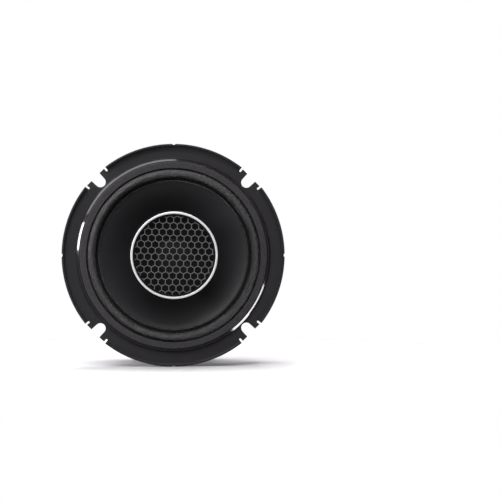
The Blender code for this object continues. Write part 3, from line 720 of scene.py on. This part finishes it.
def motor(look):
    plate = turned([(20.4, -37.3, 0.4), (49, -37.3, 0.7), (49, -43, 0.7), (20.4, -43, 0.4)], 192)
    holes = [rod(2.2, -45, -35, about_axis(side) @ Matrix.Translation((42, 0, 0))) for side in SIDES]
    plate = carved(plate, gathered(holes))
    place_piece("front_plate", plate, "zinc", "top_plate", look["zinc"])
    ring = turned([(27, -43.3, 0.8), (51, -43.3, 1.3), (51, -64, 1.3), (27, -64, 0.8)], 192)
    place_piece("ferrite_ring", ring, "charcoal_ferrite", "magnet", look["ferrite"])
    yoke = turned([
        (18.5, -36.8, 0.5), (18.5, -62.8, 1.2), (48.5, -64.3, 0.8), (48.5, -71, 0.9), (20, -71, 0.6),
        (18.8, -70.4, 0.5), (12, -70.4, 0.5), (10.6, -71, 0.4), (6, -71, 0.5), (6, -66), (2.5, -66),
        (2.5, -36.8, 0.3),
    ], 192)
    bores = [rod(1.2, -80, -30, Matrix.Translation((x, 0, 0)), 24) for x in (-12, 12)]
    place_piece("back_plate_and_pole", carved(yoke, gathered(bores)), "zinc", "t_yoke", look["zinc"])


# ---------------------------------------------------------------- tweeter


def tweeter_case(look):
    shell = turned([
        (33, 21, 0.25), (33, 18.3, 0.1), (32.65, 18.1, 0.1), (32.65, 17.7, 0.1), (33, 17.5, 0.1),
        (33, 10.8, 1.6), (31.8, 8, 1.2), (24.6, -0.6, 3.0), (19.8, -4.8, 1.6), (17, -7.2, 0.8),
        (15, -8.6, 0.5), (2.5, -8.6), (2.5, -5.8), (14.5, -5.8, 1.0), (22.6, 1.6, 2.0),
        (28.2, 9.4, 1.5), (28.2, 14.7), (29.8, 14.7), (29.8, 18.9), (31.2, 18.9), (31.2, 20),
        (32.5, 20), (32.5, 21, 0.15),
    ], 192)
    # The shell's rim round the bezel takes the dull black: painted shade in the pocket round the bezel.
    for face in shell.faces:
        if face.calc_center_median().z > 19.5:
            face.material_index = 1
    place_piece(
        "tweeter_shell", shell, "black_plastic", "tweeter_housing", look["plastic"], look["matt"])
    ring = turned([
        (28.8, 20.15), (31.8, 20.15, 0.1), (31.8, 22.2, 0.6), (30.2, 22.2, 0.5), (30.2, 20.75),
        (28.8, 20.75, 0.25),
    ], 192)
    # The ring's inner lip takes the dull black, not silver: painted shade on the recessed lip.
    for face in ring.faces:
        middle = face.calc_center_median()
        if math.hypot(middle.x, middle.y) < 30.18:
            face.material_index = 1
    place_piece("silver_ring", ring, "silver", "tweeter_bezel", look["silver"], look["matt"])


def grille_cells():
    """Hexagonal cells over the whole disc, with those at its edge cut off by it."""
    radius = (GRILLE_PITCH - GRILLE_WALL) / math.sqrt(3)
    turn = Matrix.Rotation(GRILLE_TURN, 2)
    cells = []
    for row in range(-8, 8):
        for column in range(-8, 8):
            step = Vector((column + 0.5 * (row % 2), row * math.sqrt(3) / 2)) * GRILLE_PITCH
            centre = turn @ (GRILLE_SHIFT + step)
            if centre.length < 32.0:
                place = Matrix.Translation((*centre, 0)) @ turn.to_4x4()
                cells.append(rod(radius, 17, 22, place, 6))
    return carved(gathered(cells), rod(30.3, 16, 23, sides=96), "INTERSECT")


def grille(look):
    disc = turned([(0, 20.0), (30.8, 20.0), (30.8, 19.2), (0, 19.2)], 128)
    disc = carved(disc, grille_cells())
    place_piece("hexagon_mesh", disc, "grey_mesh", "tweeter_grille", look["mesh"], edge=0.12)


def dome_height(radius):
    if radius < 12.4:
        return 13.9 + 3.4 * (1 - (radius / 12.4) ** 2)
    return 13.9 + 0.45 * math.sin(math.pi * min((radius - 12.4) / 1.5, 1))


def tweeter_driver(look):
    face = turned([
        (14.1, 15.0), (14.1, 15.5, 0.2), (18, 15.9, 2), (26.5, 17.2, 1.0), (29.4, 17.2, 0.3),
        (29.4, 15.0),
    ], 128)
    # The face behind the grille takes the dull black: painted shade behind the mesh, on black plastic.
    place_piece("tweeter_face", face, "black_plastic", "tweeter_faceplate", look["matt"])
    reach = [14.3 * k / 28 for k in range(29)]
    upper = [(radius, dome_height(radius)) for radius in reach]
    lower = [(radius, dome_height(radius) - 0.3) for radius in reversed(reach)]
    place_piece(
        "silk_dome", turned(upper + lower, 96), "silk", "tweeter_diaphragm", look["silk"],
        body="tweeter_dome")
    turns = [(12.8 if k % 2 else 12.7, 9.4 + 4.2 * k / 28) for k in range(29)]
    coil = turned([(12.4, 9.4), *turns, (12.4, 13.6)], 96)
    place_piece("dome_coil", coil, "copper", "tweeter_voice_coil", look["copper"], body="tweeter_dome")


def tweeter_post(look):
    post = turned([
        (2.5, -8.9), (14.6, -8.9, 0.5), (14.6, -22, 1.5), (9, -27, 1.5), (9, -36.5, 0.4), (2.5, -36.5),
    ], 128)
    place_piece("post_body", post, "black_plastic", "tweeter_post", look["plastic"])
    front = -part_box("tweeter_post_screw")[0].y / MM
    screw = turned([
        (0, front), (1.7, front), (2.1, front - 0.5), (2.1, -66.3), (4.2, -66.3, 0.2),
        (4.2, -70.4, 0.5), (0, -70.4),
    ], 64)
    socket = rod(1.9, -72, -68.2, sides=6)
    place_piece("post_bolt", carved(screw, socket), "zinc", "tweeter_post_screw", look["zinc"])


def tweeter_leads(look):
    route = [
        (16.6, -8.4), (18.6, -10.6), (19.4, -13.4), (17.4, -16.8), (16.0, -20.2), (15.4, -24.0),
        (13.6, -28.6), (12.0, -33.0), (12.0, -41.0),
    ]
    for side, name in ((-1, "left"), (1, "right")):
        form = wire([(side * x, 0, height) for x, height in route], 0.55)
        node_name = "tweeter_lead_" + name
        place_piece("wire_to_tweeter_" + name, form, "tinned_wire", node_name, look["tinned"])


# ---------------------------------------------------------------- terminals and crossover


def spade(width, length, across, top):
    """A push-on tab with its tip chamfered and its locking hole."""
    half, tip = width / 2, min(1.2, width / 4)
    outline = [
        (across - half, top), (across + half, top), (across + half, top - length + tip),
        (across + half - tip, top - length), (across + tip - half, top - length),
        (across - half, top - length + tip),
    ]
    form = pressed(outline, 65.2, 66.0, outward(SPOKE))
    hole = outward(SPOKE) @ Matrix.Translation((across, top - length + 0.42 * width + 0.9, 0))
    return carved(form, rod(0.16 * width, 60, 70, hole, 24))


def terminals(look):
    board = pressed([(-13, -22.2, 1.2), (13, -22.2, 1.2), (13, -8.2, 1.2), (-13, -8.2, 1.2)],
                    62.9, 64.9, outward(SPOKE))
    board = carved(board, rod(1.5, 60, 70, outward(SPOKE) @ Matrix.Translation((0, -11.5, 0)), 24))
    place_piece("terminal_strip", board, "fibre_board", "terminal_board", look["board"], edge=0.25)
    rivet = turned([
        (0, 2.6), (1.3, 2.45, 0.5), (2.8, 1.3, 0.7), (2.8, 0.3, 0.1), (1.4, 0.3), (1.4, -6.0, 0.2),
        (0, -6.0),
    ], 48)
    rivet.transform(outward(SPOKE) @ Matrix.Translation((0, -11.5, 64.9)))
    place_piece("strip_rivet", rivet, "zinc", "terminal_board_rivet", look["zinc"])
    tabs = (
        ("positive", 6.3, 20.0, 7.6, -10.0), ("negative", 4.8, 20.0, -7.6, -10.0),
        ("tweeter", 3.2, 6.0, 0.0, -15.4),
    )
    for name, *sizes in tabs:
        place_piece(
            "spade_" + name, spade(*sizes), "tinned_wire", "terminal_" + name, look["tinned"], edge=0.15)


def tinsel_leads(look):
    route = [
        (63.9, 13.9, -14.0), (63.5, 18.5, -14.0), (60.0, 21.3, -14.3), (54.0, 21.0, -15.0),
        (44.0, 16.0, -17.5), (33.0, 9.5, -20.0), (25.0, 5.0, -21.8), (19.9, 2.4, -23.0),
    ]
    for side, name in ((1, "positive"), (-1, "negative")):
        form = wire([at_spoke(out, side * across, height) for out, across, height in route], 0.5)
        piece = place_piece(
            "tinsel_" + name, form, "copper", "tinsel_lead_" + name, look["braid"], body=None)
        follow_cone(piece, eased(50, 20.5))


def capacitor(look):
    """A can in a shrunk sleeve, vent end down, with its rubber bung and its crimp at the top."""
    lying = Matrix.Translation((CAP_X, 0, CAP_H)) @ Matrix.Rotation(math.radians(-90), 4, "X")
    can = turned([
        (0, -4.2), (9.3, -4.2, 0.8), (9.3, -6.2, 0.3), (8.7, -7.0, 0.4), (9.3, -7.8, 0.3),
        (9.3, -32.2, 1.0), (0, -32.2),
    ], 96)
    for turn in (0, 90):
        score = [(-6.2, -0.35, 0.3), (6.2, -0.35, 0.3), (6.2, 0.35, 0.3), (-6.2, 0.35, 0.3)]
        can = carved(can, pressed(score, -33, -31.85, about_axis(turn + 20)))
    sleeve = turned([
        (8.2, -3.0, 0.2), (10, -3.0, 0.9), (10, -6.0, 0.5), (9.5, -7.0, 0.6), (10, -8.0, 0.5),
        (10, -33, 0.9), (8.2, -33, 0.3), (8.2, -32.5, 0.1), (9.55, -32.5), (9.55, -8.2),
        (9.3, -7.0), (9.55, -5.8), (9.55, -3.5), (8.2, -3.5, 0.1),
    ], 128)
    bung = turned([(0, -2.6), (5, -2.6, 0.4), (7.8, -2.9, 0.5), (7.8, -3.9), (0, -3.9)], 64)
    for form in (can, sleeve, bung):
        form.transform(lying)
    place_piece("aluminium_can", can, "silver", "capacitor_can", look["aluminium"])
    place_piece("shrunk_sleeve", sleeve, "black_plastic", "capacitor_sleeve", look["film"])
    place_piece("rubber_bung", bung, "black_rubber", "capacitor_seal", look["gasket"])


def arc(radius, start, end, count):
    angles = [math.radians(start + (end - start) * k / count) for k in range(count + 1)]
    return [(CAP_X + radius * math.cos(a), CAP_H + radius * math.sin(a)) for a in angles]


def capacitor_clip(look):
    """A ribbed saddle over the capacitor, with a foot under the flange."""
    across = Matrix.Translation((0, -18, 0)) @ FORWARD
    saddle = [
        (65.4, -0.3), (65.4, -2.3, 0.4), (67.2, -2.3, 0.8), (67.2, -19.6), *arc(11.7, 80, 120, 6),
        *arc(10.3, 120, -80, 40), *arc(11.7, -80, 60, 28), (70.4, -2.3, 0.8), (76.4, -2.3, 0.5),
        (76.4, -0.3, 0.3),
    ]
    rib = [*arc(10.6, 55, -75, 28), *arc(12.5, -75, 52, 28), (71.6, -18), (71.2, -4, 0.4), (70, -4)]
    ribs = [pressed(rib, middle - 0.6, middle + 0.6, across) for middle in (-4.2, -1.4, 1.4, 4.2)]
    form = gathered([pressed(saddle, -6, 6, across), *ribs])
    place_piece("capacitor_clip", form, "black_plastic", "capacitor_bracket", look["nylon"], edge=0.25)


def capacitor_leads(look):
    routes = {
        "input": [
            (62.6, -2.2, -32.0), (62.8, 3.0, -31.5), (64.0, 5.5, -27.0), (65.4, 3.0, -21.5),
            (65.2, -8.0, -17.0), (63.6, -18.0, -14.5), (60.5, -29.0, -13.0), (56.0, -38.0, -12.3),
            (52.9, -42.2, -12.0),
        ],
        "output": [
            (66.4, -2.2, -32.0), (66.0, 3.0, -33.5), (62.6, 7.5, -30.0), (61.8, 3.0, -22.0),
            (61.8, -8.0, -18.0), (61.6, -18.0, -17.0), (60.5, -29.0, -17.0), (56.4, -37.5, -17.5),
            (53.8, -41.8, -17.5), (50.6, -45.4, -17.5), (47.3, -47.3, -17.5),
        ],
    }
    for name, route in routes.items():
        place_piece(
            "capacitor_wire_" + name, wire(route, 0.45), "tinned_wire", "capacitor_lead_" + name,
            look["tinned"])


def carried_over(look):
    """The plain turned parts inside, which keep their own shapes."""
    zinc = ["tweeter_back_cup", "tweeter_pole_piece", "tweeter_post_nut"]
    parts = {name: "zinc" for name in zinc + [f"basket_rivet_{k}" for k in range(1, 5)]}
    parts["tweeter_magnet"] = "ferrite"
    for name, finish in parts.items():
        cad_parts[name].data.materials.clear()
        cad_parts[name].data.materials.append(look[finish])


# ---------------------------------------------------------------- studio


def pale_floor():
    form = bmesh.new()
    bmesh.ops.create_circle(form, cap_ends=True, segments=96, radius=FLOOR_RADIUS)
    bmesh.ops.translate(form, vec=(0, 0, FLOOR_Z), verts=form.verts)
    mesh = bpy.data.meshes.new("pale_floor")
    form.to_mesh(mesh)
    form.free()
    finish, tree, shader = new_finish("matt_white", 0.9, specular=0.1)
    tree.links.new(
        shades(tree, noise(tree, here(tree), 30, 4), (0.3, grey(0.435)), (0.7, grey(0.455))),
        shader.inputs["Base Color"])
    mesh.materials.append(finish)
    floor = bpy.data.objects.new("pale_floor", mesh)
    bpy.context.scene.collection.objects.link(floor)
    floor.visible_glossy = False


def softbox(name, about, off_axis, distance, width, depth, power):
    """A lamp that faces the speaker from an angle about its axis and an angle off it."""
    about, off_axis = math.radians(about), math.radians(off_axis)
    across = Vector((-math.sin(about), math.cos(about), 0))
    out = Vector((
        math.sin(off_axis) * math.cos(about), math.sin(off_axis) * math.sin(about), math.cos(off_axis)))
    turn = Matrix((across, out.cross(across), out)).transposed().to_4x4()
    lamp = bpy.data.lights.new(name, "AREA")
    lamp.shape, lamp.size, lamp.size_y, lamp.energy = "RECTANGLE", width, depth, power
    holder = bpy.data.objects.new(name, lamp)
    bpy.context.scene.collection.objects.link(holder)
    holder.matrix_world = FORWARD @ Matrix.Translation(out * distance) @ turn
    holder.visible_camera = False


def surroundings():
    """White behind the speaker, and a dimmer room in its reflections."""
    world = bpy.data.worlds.new("white_room")
    bpy.context.scene.world = world
    world.use_nodes = True
    tree = world.node_tree
    seen = node(tree, "LightPath", {}).outputs["Is Camera Ray"]
    power = node(tree, "MapRange", {"Value": seen, "To Min": 0.18, "To Max": 1.0}).outputs[0]
    tree.links.new(power, tree.nodes["Background"].inputs["Strength"])
    tree.nodes["Background"].inputs["Color"].default_value = (1, 1, 1, 1)
    bpy.context.scene.view_settings.view_transform = "Standard"


def studio():
    pale_floor()
    surroundings()
    softbox("overhead", 95, 54, 1.3, 1.15, 0.5, 14.5)
    softbox("overhead_behind", 90, 100, 1.3, 0.9, 0.6, 32)
    softbox("front_left", 140, 32, 1.6, 1.0, 1.0, 8)
    softbox("upper_left", 121, 79, 1.0, 1.3, 0.22, 2.8)
    softbox("rear_left", 150, 152, 1.6, 0.9, 0.9, 5)
    softbox("rear_right", 30, 152, 1.6, 0.9, 0.9, 7)
    softbox("left_strip", 168.5, 79, 0.8, 0.235, 0.27, 5)
    softbox("right_strip", -34.5, 76, 0.8, 0.47, 0.3, 6.6)


def camera():
    """A long lens a little to the left of the axis, turned so that the speaker is left of centre."""
    lens = bpy.data.cameras.new("camera")
    lens.lens, lens.sensor_width = 100, 36
    lens.clip_start, lens.clip_end = 0.05, 20
    holder = bpy.data.objects.new("camera", lens)
    bpy.context.scene.collection.objects.link(holder)
    place = Vector((-0.0220, -1.0343, 0.0050))
    facing = (-place).to_track_quat("-Z", "Y").to_matrix().to_4x4()
    aside = Matrix.Rotation(math.radians(-3.147), 4, "Y") @ Matrix.Rotation(math.radians(0.214), 4, "X")
    holder.matrix_world = Matrix.Translation(place) @ facing @ aside
    bpy.context.scene.camera = holder


def build():
    look = all_finishes()
    basket(look)
    gasket(look)
    surround(look)
    cone(look)
    spider(look)
    voice_coil(look)
    motor(look)
    tweeter_case(look)
    grille(look)
    tweeter_driver(look)
    tweeter_post(look)
    tweeter_leads(look)
    terminals(look)
    tinsel_leads(look)
    capacitor(look)
    capacitor_clip(look)
    capacitor_leads(look)
    carried_over(look)


build()
studio()
camera()
